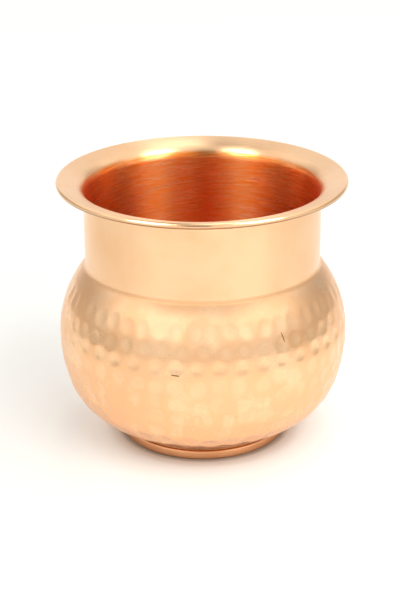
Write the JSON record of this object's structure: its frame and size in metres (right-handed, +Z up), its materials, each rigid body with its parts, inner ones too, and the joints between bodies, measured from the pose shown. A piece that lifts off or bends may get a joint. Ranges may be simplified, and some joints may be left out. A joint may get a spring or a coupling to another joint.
{
  "type": "hammered water pot",
  "caption": "Hammered copper kalash: globular dimpled belly, straight satin neck with a wide flared, wire-edged lip, and a low soldered foot ring.",
  "frame": {"origin": "centre of the foot's underside, on the surface that the pot stands on", "axes": "+Z up along the axis that the pot is turned about; X and Y are equal, because the pot is round"},
  "size_m": [0.111, 0.111, 0.103],
  "materials": {
    "belly_copper": "bright hammered copper",
    "neck_copper": "satin turned copper",
    "foot_copper": "dull, darker copper",
    "wire": "plain drawn copper",
    "braze": "polished copper-coloured braze",
    "solder": "dark braze"
  },
  "bodies": {
    "root": {"lip_wire": "wire", "neck_collar": "neck_copper", "neck_braze": "braze", "belly_shell": "belly_copper", "foot_solder": "solder", "foot_ring": "foot_copper"}
  },
  "joints": []
}
